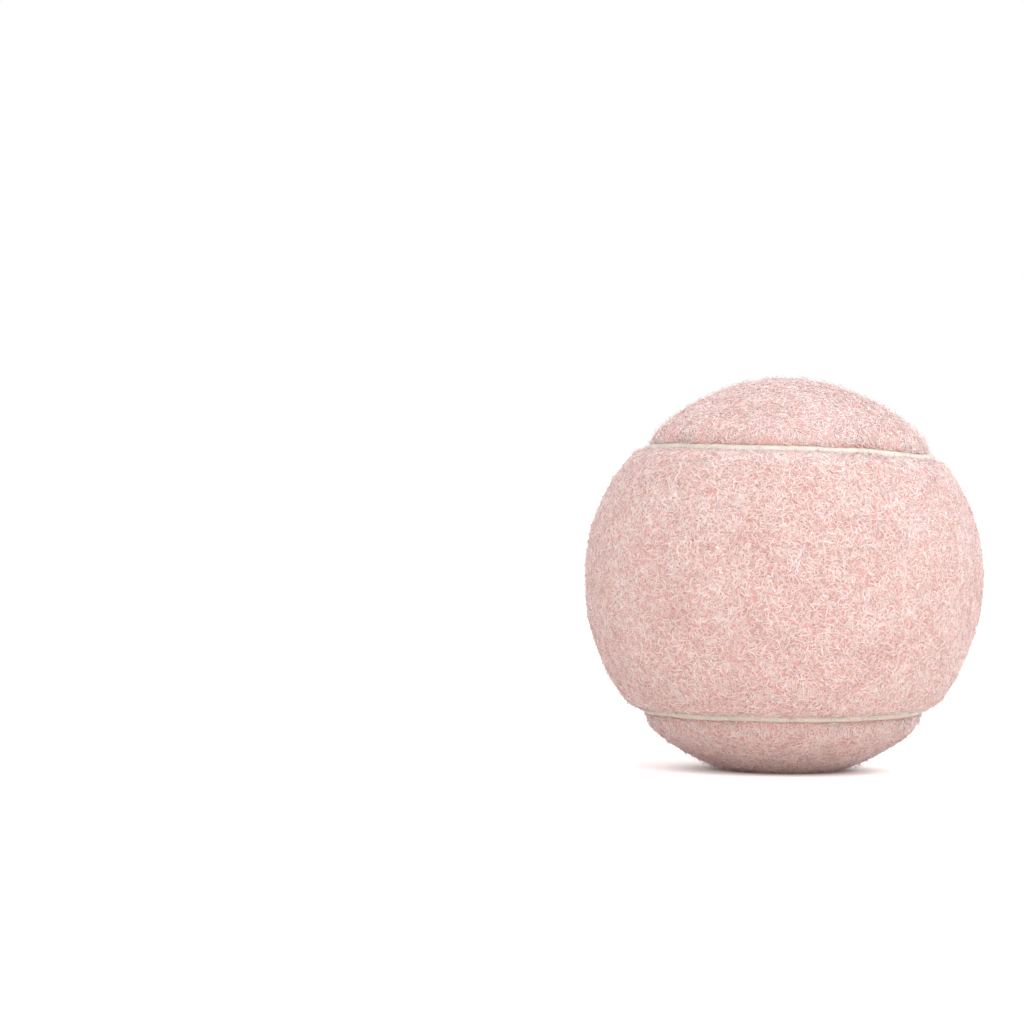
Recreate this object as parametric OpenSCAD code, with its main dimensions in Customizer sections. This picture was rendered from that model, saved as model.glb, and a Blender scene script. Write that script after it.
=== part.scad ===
// Felt-covered dog ball, 67 mm across.
// A hollow rubber core is cemented together from two half shells. Two identical felt blanks,
// each shaped like a dog's bone, wrap the core and interlock, and a rubber seam fills the gap
// between their edges.
//
// Frame: the origin is the ball's centre and +Z is up. The front panel's waist faces -Y and its
// lobes sit on +X and -X. The back panel's waist faces +Y and its lobes sit on +Z and -Z.
// Millimetres, true size.

/* [Ball] */
// Diameter over the nap of the felt
ball_d = 67; // [62:0.5:72]

/* [Felt] */
// Thickness of the felt, from its backing to the top of the nap
felt_t = 3.2; // [2.4:0.1:4]
// Width of the slope on which the felt rounds down to the seam
shoulder_w = 3.2; // [1.5:0.1:8]

/* [Seam] */
// Width of the seam between the edges of the two panels
seam_w = 1.5; // [0.8:0.1:3]
// Depth of the seam's top below the nap
seam_depth = 1.3; // [0.6:0.1:2.2]

/* [Core] */
// Wall of the rubber core
core_wall = 3.5; // [2.5:0.1:6]
// Chamfer on the inner edge of each half shell's rim
rim_chamfer = 0.8; // [0.3:0.1:1.5]

/* [Cement] */
// Cement film under each felt panel
panel_cement_t = 0.25; // [0.1:0.05:0.6]
// Cement film between the rims of the two half shells
joint_cement_t = 0.3; // [0.1:0.05:0.8]
// How far the bead of squeezed-out cement laps the wall on each side of the rims
bead_lap = 0.25; // [0.1:0.05:1]

/* [Hidden] */
$fn = 96;

// Radii of the layers, from the outside in
ball_r = ball_d / 2;
seam_r = ball_r - seam_depth;
backing_r = ball_r - felt_t;
core_r = backing_r - panel_cement_t;
hollow_r = core_r - core_wall;

// The seam is four half circles, each 45 degrees from the axis of the lobe that it goes round.
seam_angle = 45;
half_turn = 180;
seam_half = (seam_w / 2) / seam_r * half_turn / PI;
lobe_edge = seam_angle - seam_half;
waist_edge = seam_angle + seam_half;

// The shoulder is a parabola, drawn in steps. Its last step runs straight out of the felt.
shoulder_steps = 6;

// The bead of cement inside the core's joint fills the two chamfers and laps the wall.
bead_r = joint_cement_t / 2 + rim_chamfer + bead_lap;

// A corner of the outlines that lies well outside the ball
far = 2 * ball_d;

felt_pink = [0.92, 0.77, 0.74];
seam_cream = [0.95, 0.92, 0.85];
core_grey = [0.36, 0.35, 0.34];
cement_amber = [0.82, 0.73, 0.55];

// Point at a radius and at an angle from the axis of revolution, in the plane of a profile
function polar(r, angle) = [r * sin(angle), r * cos(angle)];

// Point on a panel's shoulder, by the shares of its width and height. inward is -1 where the
// panel lies at smaller angles than its edge, and 1 where it lies at larger ones.
function shoulder_point(edge, inward, across, up) =
    polar(seam_r + seam_depth * up, edge + inward * shoulder_w * across / ball_r * half_turn / PI);

// The edge of a panel, from the seam out through the nap
function panel_edge(edge, inward) = concat(
    [for (i = [0 : shoulder_steps - 1])
        let (left = 1 - i / shoulder_steps)
        shoulder_point(edge, inward, 1 - left, 1 - left * left)],
    [shoulder_point(edge, inward, 1, 1 + pow(1 / shoulder_steps, 2))]);

function reversed(points) = [for (i = [len(points) - 1 : -1 : 0]) points[i]];

// Half of a lobe in section: from the axis of revolution to the seam
function lobe_outline(rolled) = concat(
    [[0, 0], [0, far]],
    rolled ? reversed(panel_edge(lobe_edge, -1)) : [polar(far, lobe_edge)]);

// The waist in section: from the seam above it to the seam below it
function waist_outline(rolled) = concat(
    [[0, 0]],
    rolled ? panel_edge(waist_edge, 1) : [polar(far, waist_edge)],
    [[far, 0]],
    rolled ? reversed(panel_edge(half_turn - waist_edge, -1)) : [polar(far, half_turn - waist_edge)]);

// The part of a round layer that lies inside an outline
module layer_section(inner_r, outer_r, outline) {
    intersection() {
        difference() {
            circle(outer_r);
            circle(inner_r);
        }
        polygon(outline);
    }
}

// One layer of a bone-shaped panel: its waist round the front and its two lobes at the sides
module panel_layer(inner_r, outer_r, rolled) {
    rotate([0, 0, half_turn])
        rotate_extrude(angle = half_turn)
            layer_section(inner_r, outer_r, waist_outline(rolled));
    for (side = [0, 1])
        mirror([side, 0, 0])
            rotate([0, 90, 0])
                rotate_extrude(angle = half_turn)
                    layer_section(inner_r, outer_r, lobe_outline(rolled));
}

// The turn that takes the front panel to the back panel's place
module to_back() {
    rotate(a = half_turn, v = [1, 0, 1]) children();
}

// Two of the seam's half circles, above and below the front panel's waist
module seam_front() {
    for (side = [0, 1])
        mirror([0, 0, side])
            rotate([0, 0, half_turn])
                rotate_extrude(angle = half_turn)
                    layer_section(core_r, seam_r,
                        [[0, 0], polar(far, lobe_edge), polar(far, waist_edge)]);
}

// One half shell of the core in section, with its rim ground flat and chamfered inside
module core_half_section() {
    rim = joint_cement_t / 2;
    difference() {
        layer_section(hollow_r, core_r, [[0, rim], [far, rim], [far, far], [0, far]]);
        polygon([[0, rim], [hollow_r + rim_chamfer, rim], [0, rim + hollow_r + rim_chamfer]]);
    }
}

module core_half_upper() {
    color(core_grey)
        rotate_extrude()
            core_half_section();
}

module core_half_lower() {
    color(core_grey)
        mirror([0, 0, 1])
            rotate_extrude()
                core_half_section();
}

module core_joint_cement() {
    rim = joint_cement_t / 2;
    color(cement_amber)
        rotate_extrude()
            difference() {
                union() {
                    layer_section(hollow_r, core_r, [[0, -rim], [far, -rim], [far, rim], [0, rim]]);
                    translate([hollow_r, 0])
                        circle(bead_r);
                }
                for (side = [0, 1])
                    mirror([0, side])
                        core_half_section();
            }
}

module panel_cement_front() {
    color(cement_amber)
        panel_layer(core_r, backing_r, false);
}

module panel_cement_back() {
    color(cement_amber)
        to_back()
            panel_layer(core_r, backing_r, false);
}

module felt_panel_front() {
    color(felt_pink)
        panel_layer(backing_r, ball_r, true);
}

module felt_panel_back() {
    color(felt_pink)
        to_back()
            panel_layer(backing_r, ball_r, true);
}

module seam_bead() {
    color(seam_cream) {
        seam_front();
        to_back()
            seam_front();
    }
}

core_half_upper();
core_half_lower();
core_joint_cement();
panel_cement_front();
panel_cement_back();
felt_panel_front();
felt_panel_back();
seam_bead();
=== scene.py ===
"""Felt dog ball, dressed around its CAD frame: felt panels with a raised nap, and a rubber seam."""

import math

import bpy
import numpy as np
from mathutils import Matrix, Vector


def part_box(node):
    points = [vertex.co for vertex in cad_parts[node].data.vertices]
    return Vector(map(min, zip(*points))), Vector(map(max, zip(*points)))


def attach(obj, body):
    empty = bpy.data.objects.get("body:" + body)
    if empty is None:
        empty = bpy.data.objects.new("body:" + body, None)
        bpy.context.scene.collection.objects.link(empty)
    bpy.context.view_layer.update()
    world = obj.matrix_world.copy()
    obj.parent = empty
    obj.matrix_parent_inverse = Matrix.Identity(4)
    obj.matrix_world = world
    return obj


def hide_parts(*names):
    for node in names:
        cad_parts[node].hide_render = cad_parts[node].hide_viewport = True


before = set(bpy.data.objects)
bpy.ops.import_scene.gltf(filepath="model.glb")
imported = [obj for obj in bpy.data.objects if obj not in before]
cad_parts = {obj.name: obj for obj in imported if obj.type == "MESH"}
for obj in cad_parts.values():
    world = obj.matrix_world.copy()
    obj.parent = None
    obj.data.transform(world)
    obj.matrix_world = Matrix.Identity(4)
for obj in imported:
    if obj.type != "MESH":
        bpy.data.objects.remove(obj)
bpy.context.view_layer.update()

MM = 0.001
X, Z = 0, 2


def half_width(node, axis):
    """Half of a CAD node's size along one axis."""
    low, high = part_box(node)
    return (high[axis] - low[axis]) / 2


# Radii of the ball's layers, from the frame
BALL_R = half_width("felt_panel_back", Z)
BACKING_R = half_width("panel_cement_back", Z)
CORE_R = half_width("core_half_upper", X)

# The floor presses the nap flat under the ball
PRESSED = 1.4 * MM
FLOOR_Z = PRESSED - BALL_R

# The groove between the panels, as in the CAD model
SEAM_ANGLE = math.radians(45)
SEAM_W = 1.5 * MM
SEAM_DEPTH = 1.3 * MM
SEAM_R = BALL_R - SEAM_DEPTH
SHOULDER_W = 3.2 * MM
SEAM_HALF = SEAM_W / 2 / SEAM_R
EDGE_ANGLE = SEAM_ANGLE - SEAM_HALF

# The seam's rubber, from its middle out: shares of its half width, and heights over the seam's radius.
# It follows the felt's unevenness in part.
SEAM_CROWN = ((0.0, 0.08 * MM), (0.4, 0.06 * MM), (0.8, -0.02 * MM), (1.02, -0.25 * MM))
SEAM_UNEVENNESS = 0.5

# The felt's dense body ends below the nap, and the nap fills the rest of the ball's radius
NAP_H = 0.2 * MM
BODY_R = BALL_R - NAP_H

# How finely the felt panels and the seam are meshed
WAIST_STEPS = 200
LOBE_STEPS = 200
SHOULDER_COLUMNS = 12
OUTER_COLUMNS = 64
INNER_COLUMNS = 6

# Unevenness of the felt's body, patches of its tint, and the wandering of the panels' edges from
# their true line: height and wavelength of each kind of wave
LUMPS = ((0.05 * MM, 9 * MM), (0.025 * MM, 3 * MM))
PATCHES = ((0.045, 8 * MM), (0.035, 3 * MM))
DRIFTS = ((0.06 * MM, 9 * MM), (0.04 * MM, 4 * MM))
WAVES_PER_KIND = 48
WAVELENGTH_SPREAD = (0.7, 1.4)

# The nap, from the mat up. Each layer has its number of fibres over the whole ball, their length,
# their radius, the lowest and highest lift of their arches, how far they may lie out over the seam,
# their tint, from 0 for dark rose to 1 for the palest pink, and their fan: the share of a full turn
# over which they spread. The ends of the loose fibres and of the fringe stand free, and the fringe
# points out over the seam.
NAP_LAYERS = {
    "mat": {"count": 62000, "length": 1.25 * MM, "radius": 0.17 * MM, "lift": (0.0, 0.04 * MM),
            "overhang": 0.4 * MM, "tint": 0.4, "fan": 1.0},
    # The curls lie over the mat and are paler than it: partly the felt's mixed tones, partly painted
    # light
    "curls": {"count": 44500, "length": 1.75 * MM, "radius": 0.115 * MM, "lift": (0.03 * MM, 0.14 * MM),
              "overhang": 0.6 * MM, "tint": 0.68, "fan": 1.0},
    "loose": {"count": 14000, "length": 2.0 * MM, "radius": 0.06 * MM, "lift": (0.15 * MM, 0.95 * MM),
              "overhang": 1.2 * MM, "tint": 0.58, "fan": 1.0},
    # The fringe is the palest layer: painted light that lifts the shade along the panels' edges
    "fringe": {"count": 8000, "length": 1.0 * MM, "radius": 0.05 * MM, "lift": (0.08 * MM, 0.6 * MM),
               "overhang": 1.3 * MM, "tint": 0.8, "fan": 0.4},
}
FREE_ENDED = ("loose", "fringe")
FIBRES_PER_PIECE = 10800

# How much the fibres of a layer differ in length, radius and tint, and how far their roots stray from
# an even pattern
LENGTH_SPREAD = 0.32
RADIUS_SPREAD = 0.2
TINT_SPREAD = 0.13
ROOT_SPREAD = 0.15 * MM
GOLDEN_TURN = math.pi * (3 - math.sqrt(5))

# The fringe's roots lie in a narrow band along the edge, and fibres over the seam stay clear of it
FRINGE_BAND = 0.5 * MM
OVER_SEAM = 0.12 * MM

# Form of a fibre: how far it curls and wobbles, in radians, its height as a share of its width, how
# deep its root sits, and the share of its radius at each ring
CURL = 1.3
WOBBLE = 0.35
FLATNESS = 0.45
ROOT_SINK = 0.06 * MM
FIBRE_SIDES = 3
FIBRE_TAPER = (0.8, 1.0, 0.75)

# A free end rises by a power of the way along the fibre. Other fibres arch by a power of a half sine
# wave, of which they follow the middle stretch.
FREE_POWER = 1.3
ARCH_POWER = 0.8
ARCH_START = 0.08
ARCH_LENGTH = 0.84

# The fibres' map: half of the width of a fibre's strip, and how far up its root, rings and tip lie
UV_NAME = "OFBake"
TINT_WIDTH = 0.004
UV_ROOT = 0.02
UV_RINGS = (0.25, 0.75)
UV_TIP = 0.98

# The ball as it lies: its waist is a little narrow, most at the right, the upper seam sags towards its
# right end, and the felt swells or lies flat in places. Each swell has a direction, a height and a
# reach.
WAIST_PINCH = 0.034
RIGHT_PINCH = 0.07
SAG = 1.7 * MM
SAG_PLACE = (0.53, -0.05, 0.52)
SAG_REACH = math.radians(34)
SWELLS = (
    ((0.0, 0.0, 1.0), 0.4 * MM, math.radians(15)),
    ((-0.66, -0.05, 0.75), -0.62 * MM, math.radians(17)),
    ((0.95, 0.08, 0.25), 0.3 * MM, math.radians(22)),
)

SEED = 7


# Shape of the ball

PANELS = {
    "front": {"waist": (0, -1, 0), "lobe": (1, 0, 0), "side": (0, 0, 1)},
    "back": {"waist": (0, 1, 0), "lobe": (0, 0, 1), "side": (1, 0, 0)},
}


def panel_axes(panel):
    """Directions from the ball's centre to a panel's waist, to one lobe, and across the waist."""
    return [np.array(PANELS[panel][name], float) for name in ("waist", "lobe", "side")]


def panel_loop(panel):
    """Once round a panel: the foot of each ray on the panel's spine, and the way out from it.

    The spine is the half circle from one lobe's middle through the waist to the other's. The
    panel's edge lies everywhere at the same angle from it.
    """
    waist, lobe, side = panel_axes(panel)
    along = np.linspace(-math.pi / 2, math.pi / 2, WAIST_STEPS, endpoint=False)[:, None]
    round_lobe = np.linspace(0, math.pi, LOBE_STEPS, endpoint=False)[:, None]
    there = np.cos(along) * waist + np.sin(along) * lobe
    back = np.cos(along) * waist - np.sin(along) * lobe
    first_turn = np.cos(round_lobe) * side - np.sin(round_lobe) * waist
    second_turn = -np.cos(round_lobe) * side - np.sin(round_lobe) * waist
    lobes = np.broadcast_to(lobe, first_turn.shape)
    sides = np.broadcast_to(side, there.shape)
    foot = np.concatenate([there, lobes, back, -lobes])
    out = np.concatenate([sides, first_turn, -sides, second_turn])
    return foot, out


def spine_numbers():
    """For each step of panel_loop, the number of its foot among the points of the spine."""
    there = np.arange(WAIST_STEPS)
    ends = np.full(LOBE_STEPS, WAIST_STEPS)
    return np.concatenate([there, ends, WAIST_STEPS - there, 0 * ends])


def spine_points(panel):
    """Directions along a panel's spine, from one lobe's middle to the other's."""
    waist, lobe, _ = panel_axes(panel)
    along = np.linspace(-math.pi / 2, math.pi / 2, WAIST_STEPS + 1)[:, None]
    return np.cos(along) * waist + np.sin(along) * lobe


def angle_from_spine(panel, ways):
    """Angle between each direction and the nearest point of a panel's spine."""
    waist, lobe, side = panel_axes(panel)
    beside_waist = np.arcsin(np.clip(np.abs(ways @ side), 0, 1))
    round_lobe = np.arccos(np.clip(np.abs(ways @ lobe), 0, 1))
    return np.where(ways @ waist >= 0, beside_waist, round_lobe)


def random_waves(kinds, seed):
    """Plane waves in random directions, for each height and wavelength."""
    rng = np.random.default_rng(seed)
    waves = []
    for height, length in kinds:
        way = rng.normal(size=(WAVES_PER_KIND, 3))
        way /= np.linalg.norm(way, axis=1)[:, None]
        pace = 2 * math.pi / (length * rng.uniform(*WAVELENGTH_SPREAD, WAVES_PER_KIND))
        phase = rng.uniform(0, 2 * math.pi, WAVES_PER_KIND)
        waves.append((height * math.sqrt(2 / WAVES_PER_KIND), way * pace[:, None], phase))
    return waves


LUMP_WAVES = random_waves(LUMPS, SEED)
PATCH_WAVES = random_waves(PATCHES, SEED + 1)
DRIFT_WAVES = random_waves(DRIFTS, SEED + 2)


def wave_sum(waves, ways):
    """Height of the waves in each direction from the ball's centre."""
    total = np.zeros(ways.shape[:-1])
    for height, pace, phase in waves:
        total += height * np.cos(ways @ (pace.T * BODY_R) + phase).sum(-1)
    return total


def lumps(ways):
    """Height of the felt's unevenness in each direction."""
    return wave_sum(LUMP_WAVES, ways)


def slope_r(inside):
    """Radius of the felt's body at a distance inside its panel's edge: a parabola down to the seam."""
    left = np.clip(1 - inside / SHOULDER_W, 0, 1)
    return BODY_R - (BODY_R - SEAM_R) * left ** 2


def nearness(ways, place, reach):
    """1 in a direction, falling off to 0 over a reach."""
    middle = np.array(place) / np.linalg.norm(place)
    away = np.arccos(np.clip(ways @ middle, -1, 1))
    return np.exp(-(away / reach) ** 2)


def settle(points):
    """Moves points of the ball from its ideal shape to the shape in which it lies."""
    radius = np.linalg.norm(points, axis=-1)
    ways = points / radius[..., None]
    moved = points.copy()
    moved[..., Z] *= 1 - WAIST_PINCH - RIGHT_PINCH * np.clip(ways[..., X], 0, 1) ** 2
    moved[..., Z] += wave_sum(DRIFT_WAVES, ways) - SAG * nearness(ways, SAG_PLACE, SAG_REACH)
    moved /= np.linalg.norm(moved, axis=-1, keepdims=True)
    in_felt = (radius - BACKING_R) / (BALL_R - BACKING_R)
    for place, height, reach in SWELLS:
        radius = radius + height * in_felt * nearness(ways, place, reach)
    moved *= radius[..., None]
    moved[..., Z] = np.maximum(moved[..., Z], FLOOR_Z)
    return moved


# Meshes

def add_piece(name, points, faces, material, uv=None):
    """A mesh piece that rides on the ball.

    faces is a list of whole-number arrays. Each row has the corners of one face, clockwise as seen
    from outside.
    """
    mesh = bpy.data.meshes.new(name)
    mesh.vertices.add(len(points))
    mesh.vertices.foreach_set("co", np.ascontiguousarray(points, np.float32).ravel())
    corners = np.concatenate([f[:, ::-1].ravel() for f in faces]).astype(np.int32)
    counts = np.concatenate([np.full(len(f), f.shape[1]) for f in faces]).astype(np.int32)
    mesh.loops.add(len(corners))
    mesh.loops.foreach_set("vertex_index", corners)
    mesh.polygons.add(len(counts))
    mesh.polygons.foreach_set("loop_start", (np.cumsum(counts) - counts).astype(np.int32))
    mesh.polygons.foreach_set("use_smooth", np.ones(len(counts), bool))
    if uv is not None:
        layer = mesh.uv_layers.new(name=UV_NAME)
        layer.data.foreach_set("uv", uv[corners].astype(np.float32).ravel())
    mesh.update(calc_edges=True)
    mesh.validate()
    mesh.materials.append(material)
    piece = bpy.data.objects.new(name, mesh)
    bpy.context.collection.objects.link(piece)
    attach(piece, "root")
    return piece


def panel_columns():
    """Angle from the spine, radius and unevenness of each line of points, over and back under."""
    flat = np.linspace(0, EDGE_ANGLE - SHOULDER_W / BODY_R, OUTER_COLUMNS + 1)[1:-1]
    slope = np.linspace(SHOULDER_W, 0, SHOULDER_COLUMNS)
    under = np.linspace(EDGE_ANGLE, 0, INNER_COLUMNS + 1)[:-1]
    angles = np.concatenate([flat, EDGE_ANGLE - slope / BODY_R, under])
    radii = np.concatenate([np.full(len(flat), BODY_R), slope_r(slope), np.full(len(under), BACKING_R)])
    lumpy = np.concatenate([np.ones(len(flat)), slope / SHOULDER_W, np.zeros(len(under))])
    return angles, radii, lumpy


def add_felt_panel(panel, material):
    """The dense body of one felt panel: a closed shell with rounded shoulders."""
    foot, out = panel_loop(panel)
    angles, radii, lumpy = panel_columns()
    ways = np.cos(angles)[:, None, None] * foot + np.sin(angles)[:, None, None] * out
    grid = ways * (radii[:, None] + lumpy[:, None] * lumps(ways))[..., None]
    spine = spine_points(panel)
    top = spine * (BODY_R + lumps(spine))[:, None]
    bottom = spine * BACKING_R
    columns, steps = grid.shape[:2]
    points = np.concatenate([grid.reshape(-1, 3), top, bottom])

    numbers = np.arange(columns * steps).reshape(columns, steps)
    ahead = np.roll(numbers, -1, axis=1)
    quads = np.stack([numbers[:-1], numbers[1:], ahead[1:], ahead[:-1]], axis=-1).reshape(-1, 4)
    feet = spine_numbers()
    feet_ahead = np.roll(feet, -1)
    fan = feet == feet_ahead
    faces = [quads]
    for row, first, order in ((0, columns * steps, 1), (-1, columns * steps + len(spine), -1)):
        ring = np.stack([feet + first, numbers[row], ahead[row], feet_ahead + first], axis=-1)
        ring = ring[:, ::order]
        faces.append(ring[~fan])
        faces.append(ring[fan][:, :3] if order == 1 else ring[fan][:, 1:])
    piece = add_piece("felt_" + panel, settle(points), faces, material)
    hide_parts("felt_panel_" + panel)


def seam_profile():
    """Section of the seam's rubber, from one edge over the crown to the other: shares and radii."""
    half = [(share, SEAM_R + height) for share, height in SEAM_CROWN] + [(1.0, CORE_R)]
    return np.array(half[:0:-1] + [(-share, radius) for share, radius in half])


def add_seam(material):
    """The rubber seam: a profile swept once round the edge of the front panel."""
    foot, out = panel_loop("front")
    shares, radii = seam_profile().T
    angles = SEAM_ANGLE - shares * SEAM_HALF
    ways = np.cos(angles)[:, None, None] * foot + np.sin(angles)[:, None, None] * out
    uneven = (radii > CORE_R)[:, None] * lumps(ways) * SEAM_UNEVENNESS
    grid = ways * (radii[:, None] + uneven)[..., None]
    numbers = np.arange(grid.shape[0] * grid.shape[1]).reshape(grid.shape[:2])
    ahead = np.roll(numbers, -1, axis=1)
    below = np.roll(numbers, -1, axis=0)
    both = np.roll(ahead, -1, axis=0)
    quads = np.stack([numbers, below, both, ahead], axis=-1).reshape(-1, 4)
    piece = add_piece("seam", settle(grid.reshape(-1, 3)), [quads], material)
    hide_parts("seam_bead")


# Nap

def unit(vectors):
    """Vectors of the same directions and of length 1."""
    return vectors / np.linalg.norm(vectors, axis=-1, keepdims=True)


def inside_edge(panel, ways):
    """Distance of each direction inside a panel's edge."""
    return (EDGE_ANGLE - angle_from_spine(panel, ways)) * BODY_R


def even_roots(panel, count, rng):
    """Fibre roots spread evenly over a panel, along a golden spiral, and a random tangent at each."""
    number = np.arange(count) + 0.5
    height = 1 - 2 * number / count
    level = np.sqrt(1 - height ** 2)
    turn = GOLDEN_TURN * number
    ways = np.stack([level * np.cos(turn), level * np.sin(turn), height], axis=-1)
    ways = unit(ways + rng.normal(0, ROOT_SPREAD / BODY_R, ways.shape))
    ways = rng.permutation(ways[inside_edge(panel, ways) > 0])
    return ways, unit(np.cross(ways, rng.normal(size=ways.shape)))


def edge_roots(panel, count, rng):
    """Fibre roots along a panel's edge, and the tangent that leads out over the seam from each."""
    foot, out = panel_loop(panel)
    step = rng.integers(len(foot), size=count // len(PANELS))
    angle = (EDGE_ANGLE - rng.uniform(0, FRINGE_BAND, len(step)) / BODY_R)[:, None]
    ways = np.cos(angle) * foot[step] + np.sin(angle) * out[step]
    ways = unit(ways + rng.normal(0, ROOT_SPREAD / BODY_R, ways.shape))
    outward = np.cos(angle) * out[step] - np.sin(angle) * foot[step]
    return ways, unit(outward - (outward * ways).sum(-1, keepdims=True) * ways)


def fibre_paths(panel, layer, roots, tangents, free_ended, rng):
    """Points along each fibre of a layer, from its root to its tip."""
    count, steps = len(roots), len(FIBRE_TAPER) + 1
    length = layer["length"] * np.exp(rng.normal(0, LENGTH_SPREAD, count))
    heading = rng.uniform(-math.pi, math.pi, count) * layer["fan"]
    curl = rng.normal(0, CURL, count)
    wobble = rng.normal(0, WOBBLE, (count, steps))
    middle = (np.arange(steps) + 0.5) / steps - 0.5
    angle = heading[:, None] + curl[:, None] * middle + wobble
    step = (length / steps)[:, None]
    start = np.zeros((count, 1))
    along = np.concatenate([start, np.cumsum(np.cos(angle) * step, axis=1)], axis=1)
    across = np.concatenate([start, np.cumsum(np.sin(angle) * step, axis=1)], axis=1)

    others = np.cross(roots, tangents)
    shift = (along[..., None] * tangents[:, None] + across[..., None] * others[:, None]) / BODY_R
    ways = unit(roots[:, None] + shift)
    # A fibre that would lie far out over the seam is turned round, into the panel
    too_far = inside_edge(panel, ways).min(axis=1) < -layer["overhang"] * rng.random(count) ** 2
    ways[too_far] = unit(roots[:, None] - shift)[too_far]

    part = np.linspace(0, 1, steps + 1)
    if free_ended:
        arch = part ** FREE_POWER
    else:
        arch = np.sin(math.pi * (ARCH_START + ARCH_LENGTH * part)) ** ARCH_POWER
    rise = rng.uniform(*layer["lift"], count)[:, None] * arch - ROOT_SINK * (1 - part)
    ground = np.maximum(slope_r(inside_edge(panel, ways)), SEAM_R + OVER_SEAM)
    return ways * (ground + lumps(ways) + rise)[..., None]


def fibre_tubes(paths, radius, rng):
    """Points of closed, tapered and flattened tubes along the paths."""
    count = len(paths)
    inner = paths[:, 1:-1]
    forward = unit(paths[:, 2:] - paths[:, :-2])
    aside = unit(np.cross(forward, inner))
    above = np.cross(aside, forward) * FLATNESS
    thickness = radius * np.exp(rng.normal(0, RADIUS_SPREAD, count))[:, None] * np.array(FIBRE_TAPER)
    turns = 2 * math.pi * np.arange(FIBRE_SIDES) / FIBRE_SIDES + rng.uniform(0, math.pi, (count, 1))
    outward = (np.cos(turns)[:, None, :, None] * aside[:, :, None]
               + np.sin(turns)[:, None, :, None] * above[:, :, None])
    rings = inner[:, :, None] + thickness[..., None, None] * outward
    return np.concatenate([paths[:, :1], rings.reshape(count, -1, 3), paths[:, -1:]], axis=1)


def tube_faces():
    """Triangles of one fibre: a tip, rings, and a tip."""
    rings = len(FIBRE_TAPER)
    last = 1 + rings * FIBRE_SIDES
    faces = []
    for side in range(FIBRE_SIDES):
        after = (side + 1) % FIBRE_SIDES
        faces.append((0, 1 + after, 1 + side))
        for ring in range(rings - 1):
            a, b = 1 + ring * FIBRE_SIDES + side, 1 + ring * FIBRE_SIDES + after
            faces += [(a, b, b + FIBRE_SIDES), (a, b + FIBRE_SIDES, a + FIBRE_SIDES)]
        faces.append((last - FIBRE_SIDES + side, last - FIBRE_SIDES + after, last))
    return np.array(faces)


def tube_uv(tints):
    """Map of the fibres: across by tint, and up from root to tip."""
    rings = len(FIBRE_TAPER)
    shift = np.concatenate([[0], np.tile(np.arange(FIBRE_SIDES) - 1, rings), [0]]) * TINT_WIDTH
    up = np.concatenate([[UV_ROOT], np.repeat(np.linspace(*UV_RINGS, rings), FIBRE_SIDES), [UV_TIP]])
    across = np.clip(tints, 2 * TINT_WIDTH, 1 - 2 * TINT_WIDTH)[:, None] + shift
    return np.stack([across, np.broadcast_to(up, across.shape)], axis=-1)


def add_nap(panel, name, material):
    """One layer of the nap of one panel, in pieces of a handy size."""
    layer = NAP_LAYERS[name]
    rng = np.random.default_rng([SEED, *map(ord, panel + name)])
    find_roots = edge_roots if name == "fringe" else even_roots
    roots, tangents = find_roots(panel, layer["count"], rng)
    paths = fibre_paths(panel, layer, roots, tangents, name in FREE_ENDED, rng)
    tubes = settle(fibre_tubes(paths, layer["radius"], rng))
    tints = layer["tint"] + wave_sum(PATCH_WAVES, roots) + rng.normal(0, TINT_SPREAD, len(roots))
    # Fibres that the floor would press quite flat are left out
    standing = tubes[..., Z].max(axis=1) > FLOOR_Z
    tubes = tubes[standing]
    uv = tube_uv(tints[standing])
    for number, first in enumerate(range(0, len(tubes), FIBRES_PER_PIECE), start=1):
        some = slice(first, first + FIBRES_PER_PIECE)
        points = tubes[some]
        starts = np.arange(len(points))[:, None, None] * points.shape[1]
        faces = (tube_faces() + starts).reshape(-1, 3)
        add_piece(f"nap_{panel}_{name}_{number}", points.reshape(-1, 3), [faces], material,
                  uv[some].reshape(-1, 2))


# Materials

WHITE = "#ffffff"

# Felt under the nap: large blotches and fine strokes, with their sizes and their colours by place on a
# ramp, the strokes' pace, their share of the colour, and how far they stand out. The blotches and
# strokes are the felt's own uneven tone; that the whole felt is darker than the fibres is painted shade
# for the gaps between them.
BLOTCH_SIZE = 7 * MM
BLOTCH_COLOURS = ((0.3, "#d7a299"), (0.7, "#dfaea6"))
STROKE_SIZE = 1.0 * MM
STROKE_PACE = 2.2
STROKE_COLOURS = ((0.35, "#cc958b"), (0.65, "#e4b8b0"))
STROKE_SHARE = 0.55
STROKE_HEIGHT = 0.05 * MM

# Fibres: their colours by tint, and the painted shade that darkens them near their roots, by the way up
NAP_TINTS = ((0.0, "#cb948c"), (0.4, "#f1cfca"), (0.68, "#fde4e0"), (1.0, "#fff4f1"))
NAP_ROOT_SHADE = ((0.0, "#f2e1de"), (0.35, WHITE))

# Rubbers and cement: darkest and palest colour, mean roughness, and size of the grain
RUBBERS = {
    "seam_rubber": ("#d4cdbf", "#e0d9cd", 0.6, 0.4 * MM),
    "core_rubber": ("#4a4746", "#5d5958", 0.8, 0.3 * MM),
    "cement": ("#c3a878", "#d9c193", 0.45, 0.5 * MM),
}
CLOUD_SIZE = 3 * MM
CLOUD_ENDS = (0.3, 0.7)
ROUGHNESS_SPREAD = 0.08
GRAIN_HEIGHT = 0.04 * MM
GRAIN_STRENGTH = 0.6


def srgb(code):
    """Linear colour from a hex code, by the sRGB curve."""
    parts = [int(code[i:i + 2], 16) / 255 for i in (1, 3, 5)]
    return tuple(c / 12.92 if c <= 0.04045 else ((c + 0.055) / 1.055) ** 2.4 for c in parts) + (1.0,)


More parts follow.
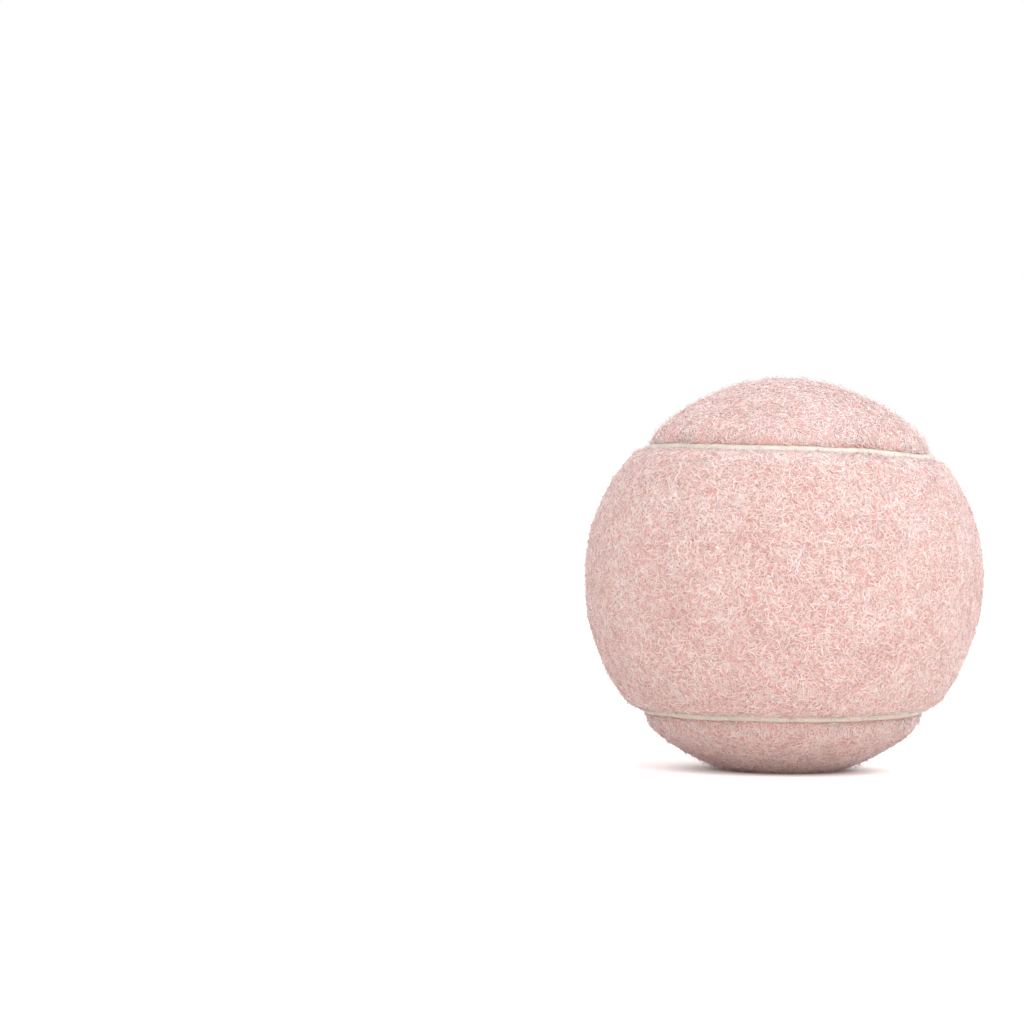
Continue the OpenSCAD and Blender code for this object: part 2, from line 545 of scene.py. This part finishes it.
def new_material(name, **values):
    """A material with one Principled shader, whose plain values are set on its sockets."""
    material = bpy.data.materials.new(name)
    material.use_nodes = True
    tree = material.node_tree
    shader = tree.nodes["Principled BSDF"]
    for socket, value in values.items():
        shader.inputs[socket.replace("_", " ")].default_value = value
    return material, tree, shader


def add_node(tree, kind, links=(), **values):
    """A node with plain values by socket name, and links by socket name."""
    node = tree.nodes.new(kind)
    for socket, value in values.items():
        node.inputs[socket].default_value = value
    for socket, source in links:
        tree.links.new(source, node.inputs[socket])
    return node


def ball_position(tree):
    """Place on the ball or the floor, in metres."""
    return tree.nodes.new("ShaderNodeTexCoord").outputs["Object"]


def noise(tree, vector, size, detail=3.0):
    """Noise whose features have about the given size in metres."""
    node = add_node(tree, "ShaderNodeTexNoise", [("Vector", vector)], Scale=1 / size, Detail=detail)
    return node.outputs["Fac"]


def ramp(tree, factor, stops):
    """Colour ramp over (place, hex colour) stops."""
    node = add_node(tree, "ShaderNodeValToRGB", [("Fac", factor)])
    elements = node.color_ramp.elements
    while len(elements) < len(stops):
        elements.new(0.5)
    for element, (place, code) in zip(elements, stops):
        element.position = place
        element.color = srgb(code)
    return node.outputs["Color"]


def mix_colour(tree, factor, first, second, blend="MIX"):
    """Mix of two colours. The factor and the colours are plain values or outputs of nodes."""
    node = tree.nodes.new("ShaderNodeMix")
    node.data_type = "RGBA"
    node.blend_type = blend
    for socket, value in (("Factor_Float", factor), ("A_Color", first), ("B_Color", second)):
        target = next(i for i in node.inputs if i.identifier == socket)
        if isinstance(value, (int, float, tuple)):
            target.default_value = value
        else:
            tree.links.new(value, target)
    return next(o for o in node.outputs if o.identifier == "Result_Color")


def add_bump(tree, shader, height, distance, strength=1.0):
    """Raises a shader's surface by a height from 0 to 1, over a distance in metres."""
    node = add_node(tree, "ShaderNodeBump", [("Height", height)], Strength=strength, Distance=distance)
    tree.links.new(node.outputs["Normal"], shader.inputs["Normal"])


def felt_material():
    """Felt under the nap: matted strokes of rose and paler pink, darker as painted shade in the gaps.
    """
    material, tree, shader = new_material(
        "felt", Roughness=0.95, Specular_IOR_Level=0.2, Sheen_Weight=0.3, Sheen_Roughness=0.5)
    place = ball_position(tree)
    blotches = ramp(tree, noise(tree, place, BLOTCH_SIZE), BLOTCH_COLOURS)
    strokes = add_node(
        tree, "ShaderNodeTexGabor", [("Vector", place)],
        Scale=1 / STROKE_SIZE, Frequency=STROKE_PACE, Anisotropy=0.0)
    strokes.gabor_type = "3D"
    streaks = ramp(tree, strokes.outputs["Value"], STROKE_COLOURS)
    tree.links.new(mix_colour(tree, STROKE_SHARE, blotches, streaks), shader.inputs["Base Color"])
    add_bump(tree, shader, strokes.outputs["Value"], STROKE_HEIGHT)
    return material


def nap_material():
    """Fibres: each has its own tint, with painted shade near the root. Both are read from the map."""
    material, tree, shader = new_material(
        "nap", Roughness=0.6, Specular_IOR_Level=0.3, Sheen_Weight=0.3, Sheen_Roughness=0.4)
    uv = tree.nodes.new("ShaderNodeUVMap")
    uv.uv_map = UV_NAME
    parts = add_node(tree, "ShaderNodeSeparateXYZ", [("Vector", uv.outputs["UV"])])
    tints = ramp(tree, parts.outputs["X"], NAP_TINTS)
    # Painted shade near the fibres' roots, multiplied into their tints
    roots = ramp(tree, parts.outputs["Y"], NAP_ROOT_SHADE)
    tree.links.new(mix_colour(tree, 1.0, tints, roots, "MULTIPLY"), shader.inputs["Base Color"])
    return material


def rubber_material(name):
    """Moulded or cured rubber, or cement: cloudy colour and a fine grain."""
    dark, pale, roughness, grain = RUBBERS[name]
    material, tree, shader = new_material(name, Specular_IOR_Level=0.3)
    place = ball_position(tree)
    clouds = noise(tree, place, CLOUD_SIZE, detail=4.0)
    tree.links.new(ramp(tree, clouds, list(zip(CLOUD_ENDS, (dark, pale)))), shader.inputs["Base Color"])
    rough = add_node(tree, "ShaderNodeMapRange", [("Value", clouds)])
    rough.inputs["To Min"].default_value = roughness - ROUGHNESS_SPREAD
    rough.inputs["To Max"].default_value = roughness + ROUGHNESS_SPREAD
    tree.links.new(rough.outputs["Result"], shader.inputs["Roughness"])
    add_bump(tree, shader, noise(tree, place, grain, detail=2.0), GRAIN_HEIGHT, GRAIN_STRENGTH)
    return material


# Studio

# The photograph's frame in pixels, where the ball lies in it, and the camera
FRAME_PX = 1024
BALL_PX = (783.1, 579.3)
FOCAL_PX = 5400.0
CAMERA_DISTANCE = 27.15 * BALL_R
CAMERA_AZIMUTH = math.radians(5)
CAMERA_ELEVATION = math.radians(1.8)
CAMERA_ROLL = math.radians(0.8)
SENSOR_MM = 36.0
CLIP_START = 0.01

# Each lamp's place, strength, colour and spread. The light from above is a little cooler than the rest.
LAMPS = {
    "key": ((0.4, -0.22, 0.89), 2.6, "#f4fdff", math.radians(90)),
    "fill": ((0.0, -1.0, 0.06), 0.72, "#ffece5", math.radians(60)),
}
WORLD_STRENGTH = 0.615
WORLD_COLOUR = "#fffeff"

# The floor: its reach each way, its colour, and the glow that turns it to plain white between two
# distances from the spot below the ball's centre
FLOOR_REACH = 6.0
FLOOR_COLOUR = (0.97, 0.91, 0.88, 1.0)
FLOOR_GLOW = 0.52
GLOW_START = 6 * MM
GLOW_FULL = 24 * MM


def add_camera():
    """The photograph's camera: the ball lies right of and below the middle of its frame."""
    level, turn = CAMERA_ELEVATION, CAMERA_AZIMUTH
    reach = math.cos(level)
    back = Vector((math.sin(turn) * reach, -math.cos(turn) * reach, math.sin(level)))
    aimed = (-back).to_track_quat("-Z", "Y").to_matrix() @ Matrix.Rotation(CAMERA_ROLL, 3, "Z")
    middle = FRAME_PX / 2
    right = (BALL_PX[0] - middle) / FOCAL_PX
    up = (middle - BALL_PX[1]) / FOCAL_PX
    seen = Vector((right, up, -1)).normalized()
    off_axis = seen.rotation_difference(Vector((0, 0, -1))).to_matrix()
    data = bpy.data.cameras.new("camera")
    data.sensor_width = SENSOR_MM
    data.lens = SENSOR_MM * FOCAL_PX / FRAME_PX
    data.clip_start = CLIP_START
    camera = bpy.data.objects.new("camera", data)
    camera.matrix_world = (aimed @ off_axis).to_4x4()
    camera.location = back * CAMERA_DISTANCE
    bpy.context.collection.objects.link(camera)
    bpy.context.scene.camera = camera


def add_lamp(name):
    """A far, wide and soft lamp that shines on the ball from its place."""
    place, strength, colour, spread = LAMPS[name]
    data = bpy.data.lights.new(name, "SUN")
    data.energy = strength
    data.color = srgb(colour)[:3]
    data.angle = spread
    lamp = bpy.data.objects.new(name, data)
    lamp.location = place
    lamp.rotation_mode = "QUATERNION"
    lamp.rotation_quaternion = (-Vector(place)).to_track_quat("-Z", "Y")
    bpy.context.collection.objects.link(lamp)


def seen_directly(tree):
    """1 on rays from the camera, and on those that mirrors or glass pass on."""
    path = tree.nodes.new("ShaderNodeLightPath")
    total = path.outputs["Is Camera Ray"]
    for name in ("Is Glossy Ray", "Is Transmission Ray"):
        node = tree.nodes.new("ShaderNodeMath")
        node.operation = "MAXIMUM"
        tree.links.new(total, node.inputs[0])
        tree.links.new(path.outputs[name], node.inputs[1])
        total = node.outputs["Value"]
    return total


def add_floor():
    """A pale table top that keeps the ball's shadow, and is plain white further away."""
    mesh = bpy.data.meshes.new("floor")
    signs = ((-1, -1), (1, -1), (1, 1), (-1, 1))
    mesh.from_pydata([(x * FLOOR_REACH, y * FLOOR_REACH, 0) for x, y in signs], [], [(0, 1, 2, 3)])
    floor = bpy.data.objects.new("floor", mesh)
    floor.location[Z] = FLOOR_Z
    bpy.context.collection.objects.link(floor)
    material, tree, shader = new_material(
        "table", Base_Color=FLOOR_COLOUR, Roughness=1.0, Specular_IOR_Level=0.0,
        Emission_Color=srgb(WHITE))
    away = add_node(tree, "ShaderNodeVectorMath", [(0, ball_position(tree))])
    away.operation = "LENGTH"
    far = add_node(tree, "ShaderNodeMapRange", [("Value", away.outputs["Value"])])
    far.interpolation_type = "SMOOTHSTEP"
    for socket, value in (("From Min", GLOW_START), ("From Max", GLOW_FULL), ("To Max", FLOOR_GLOW)):
        far.inputs[socket].default_value = value
    glow = add_node(tree, "ShaderNodeMath", [(0, seen_directly(tree)), (1, far.outputs["Result"])])
    glow.operation = "MULTIPLY"
    tree.links.new(glow.outputs["Value"], shader.inputs["Emission Strength"])
    mesh.materials.append(material)


def light_world():
    """Even light all round, which the camera sees as plain white."""
    world = bpy.data.worlds.new("studio")
    bpy.context.scene.world = world
    world.use_nodes = True
    tree = world.node_tree
    light = tuple(WORLD_STRENGTH * part for part in srgb(WORLD_COLOUR)[:3]) + (1.0,)
    shown = mix_colour(tree, seen_directly(tree), light, srgb(WHITE))
    tree.links.new(shown, tree.nodes["Background"].inputs["Color"])


bpy.context.scene.view_settings.view_transform = "Standard"
add_camera()
add_floor()
light_world()
for lamp in LAMPS:
    add_lamp(lamp)

felt = felt_material()
nap = nap_material()
for panel in PANELS:
    add_felt_panel(panel, felt)
    for layer in NAP_LAYERS:
        add_nap(panel, layer, nap)
add_seam(rubber_material("seam_rubber"))

core_rubber = rubber_material("core_rubber")
cement = rubber_material("cement")
for name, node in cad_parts.items():
    if name.startswith("core_half"):
        node.data.materials[0] = core_rubber
    elif "cement" in name:
        node.data.materials[0] = cement
